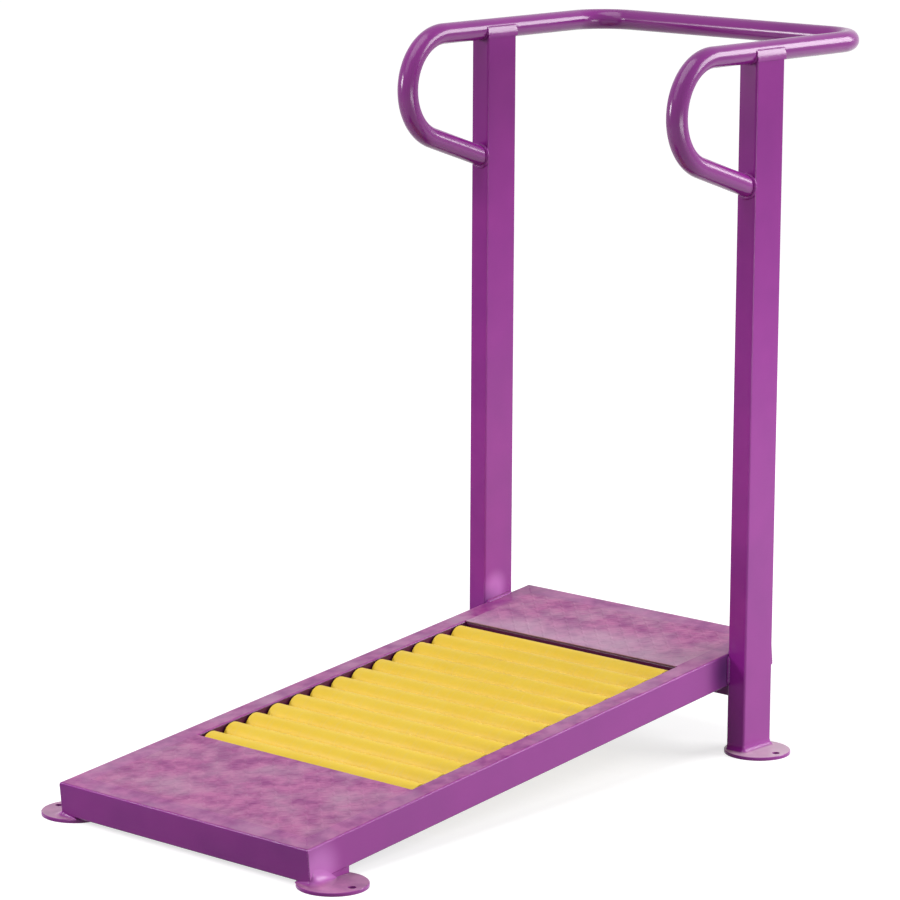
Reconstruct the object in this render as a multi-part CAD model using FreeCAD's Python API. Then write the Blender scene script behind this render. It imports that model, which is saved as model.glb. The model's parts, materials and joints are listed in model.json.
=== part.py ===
"""Outdoor treadmill: a sloping frame of rectangular tube with a bed of free rollers, two posts and a handrail.

Millimetres. +X is the walker's right, +Y the walking direction (from the low end to the posts), +Z up.
The origin lies on the ground, in the middle of the object's footprint.
"""

import FreeCAD
import Part

import math
import os

from FreeCAD import Placement, Rotation, Vector

# Ladder frame: one section for all four rails
frame_width = 580.0
slope = 6.0
rail_width = 40.0
rail_height = 60.0
rail_wall = 2.5
rail_corner = 4.0

# Tread plates and the cross bars that carry their inner edges
front_plate_length = 253.0
rear_plate_length = 190.0
plate_thickness = 3.0
cross_bar_depth = 30.0
cross_bar_height = 40.0
cross_bar_wall = 2.0
cross_bar_corner = 3.0

# Roller bed
roller_count = 13
roller_diameter = 50.0
roller_wall = 2.5
roller_gap = 5.0
roller_to_plate = 2.5
roller_to_rail = 4.0
roller_sink = 1.5

# Roller ends: hub, bearing, axle and collar
axle_diameter = 12.0
axle_reach = 10.0
axle_chamfer = 1.0
bearing_diameter = 32.0
bearing_width = 10.0
bearing_recess = 1.0
bearing_groove = 1.0
bearing_ring = 3.0
hub_web = 4.0
hub_hole_diameter = 20.0
collar_diameter = 18.0

# Posts, with the tie between them
post_width = 40.0
post_depth = 80.0
post_wall = 2.5
post_corner = 4.0
post_to_rear_end = 96.0
tie_depth = 50.0
tie_height = 25.0
tie_wall = 2.0
tie_corner = 3.0

# Handrail on the posts: a notch in each post's top, and cheeks that close it beside the tube
notch_depth = 5.0
cap_flare = 2.0
cap_overhang = 1.0
cap_skirt = 2.0
cap_lip = 0.8
cap_lip_rise = 6.0

# Handrail
tube_diameter = 38.0
tube_wall = 2.5
handrail_height = 1268.0
loop_reach = 240.0
loop_radius = 97.0
lower_leg_angle = 18.5
crossbar_reach = 310.0
corner_radius = 78.0

# Foot plates, each with one anchor hole at its outer edge
foot_diameter = 120.0
foot_thickness = 6.0
foot_edge = 1.0
rear_foot_offset = 20.0
front_foot_offset = 10.0
front_foot_setback = 42.0
anchor_hole_diameter = 14.0
anchor_to_rim = 17.5
packer_front_height = 2.0
packer_margin = 4.0

# Clearances
running_gap = 0.05
seat_gap = 0.05
collar_gap = 0.3

# Stations along the frame, from the low end
roller_pitch = roller_diameter + roller_gap
bed_length = (roller_count - 1) * roller_pitch + roller_diameter + 2 * roller_to_plate
front_plate_end = rail_width + front_plate_length
rear_plate_start = front_plate_end + bed_length
rear_plate_end = rear_plate_start + rear_plate_length
frame_length = rear_plate_end + rail_width
first_axle = front_plate_end + roller_to_plate + roller_diameter / 2
axle_height = rail_height - roller_sink - roller_diameter / 2
half_width = frame_width / 2
half_bed = half_width - rail_width

# Places in the side view, from the frame's low front edge
slope_sin = math.sin(math.radians(slope))
slope_cos = math.cos(math.radians(slope))
low_edge = foot_thickness + packer_front_height
post_place = (frame_length - post_to_rear_end) * slope_cos
crossbar_place = post_place + crossbar_reach
tube_radius = tube_diameter / 2
front_reach = min(front_foot_setback - foot_diameter / 2, -rail_height * slope_sin)
rear_reach = max(crossbar_place + tube_radius, frame_length * slope_cos)
low_edge_y = -(front_reach + rear_reach) / 2

# Places in the object's own frame
post_y = low_edge_y + post_place
post_x = half_width + post_width / 2
crossbar_y = low_edge_y + crossbar_place
rear_foot_x = post_x + rear_foot_offset
front_foot_x = half_width + front_foot_offset
front_foot_y = low_edge_y + front_foot_setback
post_top = handrail_height - tube_radius + notch_depth
anchor_reach = foot_diameter / 2 - anchor_to_rim
deck = Placement(Vector(0, low_edge_y, low_edge), Rotation(Vector(1, 0, 0), slope))

X_AXIS = Vector(1, 0, 0)
Y_AXIS = Vector(0, 1, 0)
Z_AXIS = Vector(0, 0, 1)


def on_deck(shape):
    """A shape drawn as (across, along the frame, square to it), put into its sloping place."""
    shape.Placement = deck.multiply(shape.Placement)
    return shape


def rounded_outline(width, height, radius):
    """A rectangle in the XY plane, centred on the origin, with rounded corners."""
    half_w, half_h = width / 2, height / 2
    in_w, in_h = half_w - radius, half_h - radius
    diagonal = radius * math.sqrt(0.5)
    edges = []
    for turn in range(4):
        side = in_w if turn % 2 else in_h
        reach = half_h if turn % 2 else half_w
        next_in = in_h if turn % 2 else in_w
        spin = Rotation(Z_AXIS, 90 * turn)
        start, end = Vector(reach, -side, 0), Vector(reach, side, 0)
        bend = Vector(next_in + diagonal, side + diagonal, 0)
        after = Vector(next_in, side + radius, 0)
        edges.append(Part.LineSegment(spin.multVec(start), spin.multVec(end)).toShape())
        edges.append(Part.Arc(spin.multVec(end), spin.multVec(bend), spin.multVec(after)).toShape())
    return Part.Wire(edges)


def box_tube(width, height, wall, corner, length):
    """Rectangular hollow section along +Z from the XY plane, centred on the Z axis."""
    inner_corner = max(corner - wall, wall / 5)
    outer = Part.Face(rounded_outline(width, height, corner))
    bore = Part.Face(rounded_outline(width - 2 * wall, height - 2 * wall, inner_corner))
    return outer.cut(bore).extrude(Vector(0, 0, length))


def tube_along(axis, width, height, wall, corner, start, length):
    """A box tube from the point start, along X or Y; height is then its size in Z."""
    if axis == X_AXIS:
        shape = box_tube(height, width, wall, corner, length)
        turn = Rotation(Y_AXIS, 90)
    else:
        shape = box_tube(width, height, wall, corner, length)
        turn = Rotation(X_AXIS, -90)
    shape.Placement = Placement(start, turn)
    return shape


def prism(corners, bottom, top):
    """A plan outline of (across, along) corners, raised from bottom to top."""
    points = [Vector(x, y, bottom) for x, y in corners]
    outline = Part.makePolygon(points + points[:1])
    return Part.Face(outline).extrude(Vector(0, 0, top - bottom))


def axle_stations():
    """Distance of each axle from the low end of the frame."""
    return [first_axle + index * roller_pitch for index in range(roller_count)]


def side_rail(side):
    """Side rail with mitred ends, and a hole in its inner wall for each axle."""
    middle = side * (half_width - rail_width / 2)
    start = Vector(middle, 0, rail_height / 2)
    tube = tube_along(Y_AXIS, rail_width, rail_height, rail_wall, rail_corner, start, frame_length)
    outer, inner = side * half_width, side * half_bed
    mitre = [(outer, 0), (inner, rail_width), (inner, rear_plate_end), (outer, frame_length)]
    rail = tube.common(prism(mitre, 0, rail_height))
    hole_radius = axle_diameter / 2 + seat_gap
    holes = []
    for along in axle_stations():
        base = Vector(side * (half_bed - rail_wall), along, axle_height)
        holes.append(Part.makeCylinder(hole_radius, 3 * rail_wall, base, X_AXIS * side))
    return on_deck(rail.cut(Part.makeCompound(holes)))


def end_rail(outer_station, inner_station):
    """Front or rear rail across the whole frame, with mitred ends."""
    middle = (outer_station + inner_station) / 2
    start = Vector(-half_width, middle, rail_height / 2)
    tube = tube_along(X_AXIS, rail_width, rail_height, rail_wall, rail_corner, start, frame_width)
    mitre = [(-half_width, outer_station), (half_width, outer_station),
             (half_bed, inner_station), (-half_bed, inner_station)]
    return on_deck(tube.common(prism(mitre, 0, rail_height)))


def cross_bar(middle):
    """Cross bar between the side rails, under the inner edge of a tread plate."""
    height = rail_height - plate_thickness - cross_bar_height / 2
    start = Vector(-half_bed, middle, height)
    return on_deck(tube_along(X_AXIS, cross_bar_depth, cross_bar_height, cross_bar_wall,
                              cross_bar_corner, start, 2 * half_bed))


def tread_plate(start, end):
    """Tread plate between the side rails, flush with their tops."""
    corner = Vector(-half_bed, start, rail_height - plate_thickness)
    return on_deck(Part.makeBox(2 * half_bed, end - start, plate_thickness, corner))


def rear_tie():
    """Flat tie under the rails, from post to post."""
    along = frame_length - post_to_rear_end
    start = Vector(-half_width, along, -tie_height / 2)
    return on_deck(tube_along(X_AXIS, tie_depth, tie_height, tie_wall, tie_corner, start, frame_width))


def handrail_seat(side, length):
    """Room for the handrail tube over a post, that long and centred on the post."""
    start = Vector(side * post_x, post_y - length / 2, handrail_height)
    return Part.makeCylinder(tube_radius + seat_gap, length, start, Y_AXIS)


def post(side):
    """Upright of rectangular tube against the side rail's outer face, its top notched for the handrail."""
    tube = box_tube(post_width, post_depth, post_wall, post_corner, post_top - foot_thickness)
    tube.Placement = Placement(Vector(side * post_x, post_y, foot_thickness), Rotation())
    return tube.cut(handrail_seat(side, post_depth))


def post_cap(side):
    """Two cheeks on a post's top, which round in from its sides to lips above the middle of the handrail tube."""
    foot = post_width / 2 + cap_flare
    skirt_top = post_top + cap_skirt
    lip_height = handrail_height + cap_lip_rise
    lip = math.sqrt(tube_radius ** 2 - cap_lip_rise ** 2) + cap_lip
    swell = Vector((foot + lip) / 2 + (foot - lip) / 4, 0, (skirt_top + lip_height) / 2)
    length = post_depth + 2 * cap_overhang

    def at(sign, point):
        return Vector(side * post_x + sign * point.x, post_y - length / 2, point.z)

    base, shoulder, top = Vector(foot, 0, post_top), Vector(foot, 0, skirt_top), Vector(lip, 0, lip_height)
    edges = [
        Part.LineSegment(at(-1, base), at(1, base)),
        Part.LineSegment(at(1, base), at(1, shoulder)),
        Part.Arc(at(1, shoulder), at(1, swell), at(1, top)),
        Part.LineSegment(at(1, top), at(-1, top)),
        Part.Arc(at(-1, top), at(-1, swell), at(-1, shoulder)),
        Part.LineSegment(at(-1, shoulder), at(-1, base)),
    ]
    block = Part.Face(Part.Wire([edge.toShape() for edge in edges])).extrude(Vector(0, length, 0))
    return block.cut(handrail_seat(side, length))


def bent_tube_path(side):
    """Centreline of one bent handrail: lower leg, loop, top bar and rear corner."""
    angle = math.radians(lower_leg_angle)
    x = side * post_x
    bend_y = post_y - loop_reach + loop_radius
    middle_z = handrail_height - loop_radius
    loop_start = Vector(x, bend_y - loop_radius * math.sin(angle), middle_z - loop_radius * math.cos(angle))
    loop_middle = Vector(x, bend_y - loop_radius, middle_z)
    loop_end = Vector(x, bend_y, handrail_height)
    leg_run = post_y - loop_start.y
    leg_start = loop_start + Vector(0, leg_run, -leg_run * math.tan(angle))
    corner_start = Vector(x, crossbar_y - corner_radius, handrail_height)
    diagonal = corner_radius * (1 - math.sqrt(0.5))
    corner_middle = Vector(x - side * diagonal, crossbar_y - diagonal, handrail_height)
    corner_end = Vector(x - side * corner_radius, crossbar_y, handrail_height)
    return Part.Wire([
        Part.LineSegment(leg_start, loop_start).toShape(),
        Part.Arc(loop_start, loop_middle, loop_end).toShape(),
        Part.LineSegment(loop_end, corner_start).toShape(),
        Part.Arc(corner_start, corner_middle, corner_end).toShape(),
    ])


def round_tube_on(path, radius):
    """A solid round bar along a path."""
    first = path.Edges[0]
    start = path.Vertexes[0].Point
    heading = first.tangentAt(first.FirstParameter)
    circle = Part.Wire(Part.makeCircle(radius, start, heading))
    return path.makePipeShell([circle], True, False)


def bent_handrail(side):
    """Bent handrail tube, its lower leg cut flush with the post's front face."""
    path = bent_tube_path(side)
    tube = round_tube_on(path, tube_radius).cut(round_tube_on(path, tube_radius - tube_wall))
    post_front = post_y - post_depth / 2
    below_bar = handrail_height - 2 * tube_diameter
    inside_post = Part.makeBox(2 * tube_diameter, loop_reach, below_bar,
                               Vector(side * post_x - tube_diameter, post_front, 0))
    return tube.cut(inside_post)


def crossbar():
    """Straight tube between the two bent handrails, joined to them at the ends of their corners."""
    reach = post_x - corner_radius
    start = Vector(-reach, crossbar_y, handrail_height)
    outer = Part.makeCylinder(tube_radius, 2 * reach, start, X_AXIS)
    return outer.cut(Part.makeCylinder(tube_radius - tube_wall, 2 * reach, start, X_AXIS))


def foot_plate(side, foot_x, foot_y):
    """Round foot plate with an anchor hole at its outer edge."""
    centre = Vector(side * foot_x, foot_y, 0)
    disc = Part.makeCylinder(foot_diameter / 2, foot_thickness, centre)
    rim = [edge for edge in disc.Edges if edge.Closed and edge.CenterOfMass.z > foot_thickness / 2]
    disc = disc.makeChamfer(foot_edge, rim)
    hole = centre + Vector(side * anchor_reach, 0, 0)
    return disc.cut(Part.makeCylinder(anchor_hole_diameter / 2, foot_thickness, hole))


def packer(side):
    """Wedge between a front foot plate and the flat underside of the sloping rail."""
    column = Part.makeCylinder(foot_diameter / 2 - packer_margin, rail_height,
                               Vector(side * front_foot_x, front_foot_y, foot_thickness))
    strip_width = rail_width - 2 * rail_corner
    strip_left = side * (half_width - rail_width / 2) - strip_width / 2
    strip = Part.makeBox(strip_width, foot_diameter, rail_height,
                         Vector(strip_left, low_edge_y + packer_margin, foot_thickness))
    above = Part.makeBox(4 * half_width, frame_length, 4 * rail_height, Vector(-2 * half_width, 0, 0))
    return column.common(strip).cut(on_deck(above))


def ring(outer_radius, inner_radius, start, length):
    """A plain ring along X, drawn on an axle at the origin."""
    base = Vector(start, 0, 0)
    outer = Part.makeCylinder(outer_radius, length, base, X_AXIS)
    return outer.cut(Part.makeCylinder(inner_radius, length, base, X_AXIS))


def turned(profile):
    """A closed (along X, radius) profile turned about the X axis."""
    points = [Vector(x, 0, radius) for x, radius in profile]
    face = Part.Face(Part.makePolygon(points + points[:1]))
    return face.revolve(Vector(0, 0, 0), X_AXIS, 360)


def mirrored_pair(shape):
    """A piece of the right-hand end and its mirror image at the left-hand end, as separate solids."""
    return [shape, shape.mirror(Vector(0, 0, 0), X_AXIS)]


def on_axle(pieces, along):
    """Pieces drawn about the X axis, carried to the axle at that station as one group."""
    place = Placement(Vector(0, along, axle_height), Rotation())
    carried = []
    for piece in pieces:
        copy = piece.copy()
        copy.Placement = deck.multiply(place).multiply(copy.Placement)
        carried.append(copy)
    return carried


roller_half = half_bed - roller_to_rail
bearing_face = roller_half - bearing_recess
bearing_back = bearing_face - bearing_width
hub_back = bearing_back - hub_web
bearing_bore = axle_diameter / 2 + running_gap
bearing_outside = bearing_diameter / 2


def roller_tube():
    """Yellow roller tube."""
    return ring(roller_diameter / 2, roller_diameter / 2 - roller_wall, -roller_half, 2 * roller_half)


def roller_hub():
    """End hub pressed into the roller tube, with a seat for the bearing and a web behind it."""
    outside = roller_diameter / 2 - roller_wall - seat_gap
    seat = bearing_outside + seat_gap
    hole = hub_hole_diameter / 2
    return turned([(roller_half, outside), (roller_half, seat), (bearing_back, seat),
                   (bearing_back, hole), (hub_back, hole), (hub_back, outside)])


def ball_bearing():
    """Sealed ball bearing: two rings with a sunk seal between them on both faces."""
    outer_step, inner_step = bearing_outside - bearing_ring, bearing_bore + bearing_ring
    front_seal, back_seal = bearing_face - bearing_groove, bearing_back + bearing_groove
    return turned([(bearing_face, bearing_outside), (bearing_face, outer_step), (front_seal, outer_step),
                   (front_seal, inner_step), (bearing_face, inner_step), (bearing_face, bearing_bore),
                   (bearing_back, bearing_bore), (bearing_back, inner_step), (back_seal, inner_step),
                   (back_seal, outer_step), (bearing_back, outer_step), (bearing_back, bearing_outside)])


def axle():
    """Fixed axle rod, its chamfered ends reaching through the inner walls of the rails."""
    end = half_bed + rail_wall + axle_reach
    radius = axle_diameter / 2
    tip = radius - axle_chamfer
    return turned([(-end, 0), (-end, tip), (axle_chamfer - end, radius), (end - axle_chamfer, radius),
                   (end, tip), (end, 0)])


def collar():
    """Collar on the axle, from the rail's inner face almost to the bearing."""
    start = bearing_face + collar_gap
    return ring(collar_diameter / 2, axle_diameter / 2 + seat_gap, start, half_bed - start)


def frame_nodes():
    """Every fixed piece, as node name and list of solids."""
    sides = (-1, 1)
    axles, collars = [], []
    for along in axle_stations():
        axles += on_axle([axle()], along)
        collars += on_axle(mirrored_pair(collar()), along)
    return {
        "side_rail_left": [side_rail(-1)],
        "side_rail_right": [side_rail(1)],
        "front_rail": [end_rail(0, rail_width)],
        "rear_rail": [end_rail(frame_length, rear_plate_end)],
        "bed_cross_front": [cross_bar(front_plate_end - cross_bar_depth / 2)],
        "bed_cross_rear": [cross_bar(rear_plate_start + cross_bar_depth / 2)],
        "front_plate": [tread_plate(rail_width, front_plate_end)],
        "rear_plate": [tread_plate(rear_plate_start, rear_plate_end)],
        "rear_tie": [rear_tie()],
        "post_left": [post(-1)],
        "post_right": [post(1)],
        "post_caps": [post_cap(side) for side in sides],
        "handrail_left": [bent_handrail(-1)],
        "handrail_right": [bent_handrail(1)],
        "handrail_cross": [crossbar()],
        "rear_feet": [foot_plate(side, rear_foot_x, post_y) for side in sides],
        "front_feet": [foot_plate(side, front_foot_x, front_foot_y) for side in sides],
        "front_packers": [packer(side) for side in sides],
        "roller_axles": axles,
        "axle_collars": collars,
    }


def roller_nodes():
    """The tube, hubs and bearings of every roller, as node name and list of solids."""
    nodes = {}
    for number, along in enumerate(axle_stations(), 1):
        name = f"roller_{number:02d}"
        nodes[name + "_tube"] = on_axle([roller_tube()], along)
        nodes[name + "_hubs"] = on_axle(mirrored_pair(roller_hub()), along)
        nodes[name + "_bearings"] = on_axle(mirrored_pair(ball_bearing()), along)
    return nodes


os.makedirs("parts", exist_ok=True)
for node, solids in {**frame_nodes(), **roller_nodes()}.items():
    pieces = [solid for shape in solids for solid in shape.Solids]
    shape = pieces[0] if len(pieces) == 1 else Part.makeCompound(pieces)
    shape.exportStep(f"parts/{node}.step")
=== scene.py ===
"""Outdoor treadmill: the looks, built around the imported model.

Metres, in the model's own frame: +X is the walker's right, +Y the walking direction, +Z up.
"""

import json
import math

import bpy
import numpy as np
from mathutils import Matrix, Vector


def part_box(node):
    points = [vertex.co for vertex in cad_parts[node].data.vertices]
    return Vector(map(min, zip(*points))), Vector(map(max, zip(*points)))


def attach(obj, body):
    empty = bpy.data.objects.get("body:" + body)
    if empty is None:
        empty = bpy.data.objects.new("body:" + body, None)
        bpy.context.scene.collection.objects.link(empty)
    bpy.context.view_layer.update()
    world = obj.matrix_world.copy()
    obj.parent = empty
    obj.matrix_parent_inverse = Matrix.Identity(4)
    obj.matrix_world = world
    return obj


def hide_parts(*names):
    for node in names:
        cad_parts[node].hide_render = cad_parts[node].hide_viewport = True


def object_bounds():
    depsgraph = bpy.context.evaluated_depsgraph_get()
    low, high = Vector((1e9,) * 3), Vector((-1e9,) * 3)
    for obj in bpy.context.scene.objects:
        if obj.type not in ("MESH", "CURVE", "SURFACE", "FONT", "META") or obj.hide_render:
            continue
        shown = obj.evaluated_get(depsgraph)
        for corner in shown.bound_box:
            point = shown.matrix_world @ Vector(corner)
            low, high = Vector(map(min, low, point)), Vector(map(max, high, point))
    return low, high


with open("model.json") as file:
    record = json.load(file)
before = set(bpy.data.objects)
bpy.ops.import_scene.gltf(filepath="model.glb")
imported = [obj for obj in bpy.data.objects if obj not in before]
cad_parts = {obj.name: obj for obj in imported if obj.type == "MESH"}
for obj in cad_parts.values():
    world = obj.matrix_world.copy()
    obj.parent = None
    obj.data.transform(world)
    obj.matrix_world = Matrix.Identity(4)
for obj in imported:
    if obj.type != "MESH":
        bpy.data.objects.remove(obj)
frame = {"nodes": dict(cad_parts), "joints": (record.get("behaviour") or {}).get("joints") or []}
cad_low, cad_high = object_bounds()

MM = 0.001
X_AXIS, Y_AXIS, Z_AXIS = np.eye(3)


def node_box(node):
    """Lowest and highest corner of a CAD node, as arrays."""
    low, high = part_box(node)
    return np.array(low), np.array(high)


# The sloping deck: distances along it and square to it, from the axles and the pieces that lie on it
axle_points = np.array([joint["pos_m"] for joint in frame["joints"]])
DECK_ALONG = (axle_points[-1] - axle_points[0]) / np.linalg.norm(axle_points[-1] - axle_points[0])
DECK_SQUARE = np.cross(X_AXIS, DECK_ALONG)


def on_deck(across, along, above):
    """Points at a distance across in X, along the slope and square to it, all from the origin."""
    across, along, above = np.broadcast_arrays(across, along, above)
    return across[..., None] * X_AXIS + along[..., None] * DECK_ALONG + above[..., None] * DECK_SQUARE


def deck_span(node):
    """Start, end, bottom and top on the deck of a straight piece that lies along it, from its upright box.

    The box's four limits in Y and Z are each a sum of two of the four numbers, so they follow from
    four linear equations.
    """
    low, high = node_box(node)
    run, rise = DECK_ALONG[1], DECK_ALONG[2]
    sums = [[run, 0, 0, -rise], [0, run, -rise, 0], [rise, 0, run, 0], [0, rise, 0, run]]
    return np.linalg.solve(sums, [low[1], high[1], low[2], high[2]])


RAIL_START, RAIL_END, RAIL_BOTTOM, RAIL_TOP = deck_span("side_rail_right")
HALF_WIDTH = node_box("side_rail_right")[1][0]
HALF_BED = node_box("front_plate")[1][0]
RAIL_WIDTH = HALF_WIDTH - HALF_BED
RAIL_MIDDLE = (RAIL_BOTTOM + RAIL_TOP) / 2
RAIL_CORNER = 4 * MM
DECK_HEIGHT = node_box("rear_rail")[1][2]
REAR_PLATE_START = deck_span("rear_plate")[0]

POST_LOW, POST_HIGH = node_box("post_right")
POST_X, POST_Y = (POST_LOW[:2] + POST_HIGH[:2]) / 2
POST_CORNER = 4 * MM
FOOT_TOP = node_box("rear_feet")[1][2]
HALF_FOOT = np.diff([corner[1] for corner in node_box("rear_feet")])[0] / 2
CAP_LOW, CAP_HIGH = node_box("post_caps")

CROSS_LOW, CROSS_HIGH = node_box("handrail_cross")
TUBE_RADIUS = (CROSS_HIGH[2] - CROSS_LOW[2]) / 2
BAR_HEIGHT = CROSS_HIGH[2] - TUBE_RADIUS
CROSSBAR_Y = CROSS_HIGH[1] - TUBE_RADIUS
CORNER_RADIUS = POST_X - CROSS_HIGH[0]
LOOP_FRONT = node_box("handrail_right")[0][1] + TUBE_RADIUS
LOOP_RADIUS = 97 * MM
LEG_ANGLE = math.radians(18.5)

ROLLER_HALF = node_box("roller_01_tube")[1][0]
ROLLER_RADIUS = (node_box("roller_01_tube")[1][2] - node_box("roller_01_tube")[0][2]) / 2
ROLLER_WALL = 2.5 * MM
ROLLER_EASE = 1.2 * MM

# Chequer plate: rolled tears
TEAR_LENGTH = 22 * MM
TEAR_WIDTH = 6 * MM
TEAR_RISE = 0.6 * MM
TEAR_PITCH = 17 * MM

# Welds: one ripple is one dab of the rod
WELD_RIPPLE = 4.5 * MM
WELD_SAMPLES = 4
WELD_AROUND = 10
# Radii of the beads
MITRE_BEAD = 1.9 * MM
POST_BEAD, POST_TOP_BEAD = 4.2 * MM, 5 * MM
LEG_BEAD, CROSSBAR_BEAD = 4.2 * MM, 0.8 * MM
LIP_BEAD, SEAT_BEAD = 1.5 * MM, 2.2 * MM
TIE_BEAD = 2.6 * MM
# Fillets under the posts and under the frame's front corners
FOOT_FILLET_TALL, FOOT_FILLET_WIDE = 13 * MM, 12 * MM
CORNER_FILLET = 25 * MM

# Points round a tube, a roller and a ring weld, and along the handrail's bends
TUBE_AROUND = 56
ROLLER_AROUND = 80
SEAM_AROUND = 48
LOOP_STEPS, CORNER_STEPS = 70, 40
# Faces that meet at less than this are shaded smooth
GENTLE_TURN = math.radians(40)

# Heights between which the paint goes from paler to deeper in colour, and over which the sideways faces'
# paler tint thins out
DEEP_FROM, DEEP_ABOVE = 0.7, 1.15
SIDE_PALE_FROM, SIDE_PALE_ABOVE = 0.1, 1.2

# Middles of the painted highlights, on a post's inner face above the rail and on the frame's side at its
# front corner, and of the painted shadow inside the rail where it meets a post, so that the shadow stays off
# the post's outer face
POST_HIGHLIGHT_MIDDLE = (HALF_WIDTH, POST_Y - 10 * MM, (RAIL_TOP + POST_Y * DECK_ALONG[2]) / DECK_ALONG[1] + 20 * MM)
CORNER_HIGHLIGHT_MIDDLE = tuple(on_deck(HALF_WIDTH, RAIL_START + 22 * MM, RAIL_MIDDLE - 12 * MM).tolist())
POST_SHADOW_MIDDLE = (HALF_WIDTH - 30 * MM, POST_LOW[1],
               (RAIL_MIDDLE + POST_LOW[1] * DECK_ALONG[2]) / DECK_ALONG[1])
OBJECT_MIDDLE = (np.array(cad_low) + np.array(cad_high)) / 2


# Meshes

def grid_faces(rows, columns, close_rows=False, close_columns=True):
    """Four-cornered faces between neighbours on a grid of points.

    A closed direction joins its end to its start.
    """
    row = np.arange(rows if close_rows else rows - 1)[:, None]
    column = np.arange(columns if close_columns else columns - 1)[None, :]
    below, beside = (row + 1) % rows, (column + 1) % columns
    corners = np.broadcast_arrays(row * columns + column, row * columns + beside,
                                  below * columns + beside, below * columns + column)
    return np.stack(corners, -1).reshape(-1, 4)


def capped_skin(rings):
    """Skin over rings of points (ring, point, xyz), with each end closed by a fan to its middle."""
    count, around = rings.shape[:2]
    points = np.concatenate([rings.reshape(-1, 3), rings[:1].mean(1), rings[-1:].mean(1)])
    here = np.arange(around)
    beside = np.roll(here, -1)
    last = (count - 1) * around
    start_fan = np.stack([beside, here, np.full(around, count * around)], 1)
    end_fan = np.stack([here + last, beside + last, np.full(around, count * around + 1)], 1)
    return points, [*grid_faces(count, around).tolist(), *start_fan.tolist(), *end_fan.tolist()]


def closed_skin(rings):
    """Skin over rings of points (ring, point, xyz) whose last ring meets the first."""
    return rings.reshape(-1, 3), grid_faces(*rings.shape[:2], close_rows=True).tolist()


def facing_out(points, faces):
    """The faces, turned over where the volume that they enclose comes out negative."""
    corners = np.array([face[:3] for face in faces])
    quads = np.array([face for face in faces if len(face) == 4])
    a, b, c = points[corners].transpose(1, 0, 2)
    volume = np.einsum("ij,ij->", a, np.cross(b, c))
    if len(quads):
        a, b, c = points[quads[:, [0, 2, 3]]].transpose(1, 0, 2)
        volume += np.einsum("ij,ij->", a, np.cross(b, c))
    return faces if volume > 0 else [face[::-1] for face in faces]


def make_piece(name, skins, finish, body="frame", replaced=()):
    """One object from closed skins (points, faces), smooth across gentle turns, which rides on its body."""
    points, faces, count = [], [], 0
    for skin_points, skin_faces in skins:
        centred = skin_points - skin_points.mean(0)
        faces += [[corner + count for corner in face] for face in facing_out(centred, skin_faces)]
        points.append(skin_points)
        count += len(skin_points)
    mesh = bpy.data.meshes.new(name)
    mesh.from_pydata(np.concatenate(points), [], faces)
    mesh.shade_smooth()
    mesh.set_sharp_from_angle(angle=GENTLE_TURN)
    mesh.materials.append(finish)
    piece = bpy.data.objects.new(name, mesh)
    bpy.context.scene.collection.objects.link(piece)
    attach(piece, body)
    if replaced:
        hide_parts(*replaced)


def circle(radius, count):
    """Points (side, up) evenly round a circle."""
    turn = np.linspace(0, 2 * np.pi, count, endpoint=False)
    return radius * np.stack([np.cos(turn), np.sin(turn)], -1)


def carried(profile, path, side, up):
    """Profile points (side, up) carried along a path: path point plus offsets in its own two directions."""
    return path[:, None] + profile[..., :1] * side[:, None] + profile[..., 1:] * up[:, None]


def arc(start, end, count):
    """Angles from start to end, both included."""
    return np.linspace(start, end, count)


def rounded_outline(half_width, half_height, radius, steps=7):
    """Closed rectangle with quarter circles of that radius at its corners, as points (side, up)."""
    corners = np.array([[1, 1], [-1, 1], [-1, -1], [1, -1]])
    middles = corners * [half_width - radius, half_height - radius]
    turn = arc(0, np.pi / 2, steps)[None] + np.arange(4)[:, None] * np.pi / 2
    quarter = radius * np.stack([np.cos(turn), np.sin(turn)], -1)
    return (middles[:, None] + quarter).reshape(-1, 2)


# Materials

# Sockets of a Mix node, which go by number: for numbers and for colours
MIX_FACTOR = 0
MIX_FLOAT_A, MIX_FLOAT_B, MIX_FLOAT = 2, 3, 0
MIX_A, MIX_B, MIX_COLOUR = 6, 7, 2


def ink(hex_colour):
    """An sRGB hex colour as linear RGBA."""
    channel = np.array([int(hex_colour[place:place + 2], 16) for place in (1, 3, 5)]) / 255
    linear = np.where(channel <= 0.04045, channel / 12.92, ((channel + 0.055) / 1.055) ** 2.4)
    return (*linear.tolist(), 1.0)


def add_node(tree, kind, settings=None, links=None):
    """Adds a node, sets its properties and inputs, and joins its inputs to other nodes' outputs."""
    node = tree.nodes.new(kind)
    for key, value in (settings or {}).items():
        if key in node.bl_rna.properties.keys():
            setattr(node, key, value)
        else:
            node.inputs[key].default_value = value
    for key, output in (links or {}).items():
        tree.links.new(output, node.inputs[key])
    return node


def new_finish(name, settings):
    """A material with one shader; gives the material, its tree, its shader and its Object coordinates."""
    finish = bpy.data.materials.new(name)
    finish.use_nodes = True
    tree = finish.node_tree
    shader = tree.nodes["Principled BSDF"]
    for key, value in settings.items():
        shader.inputs[key].default_value = value
    place = add_node(tree, "ShaderNodeTexCoord").outputs["Object"]
    return finish, tree, shader, place


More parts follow.
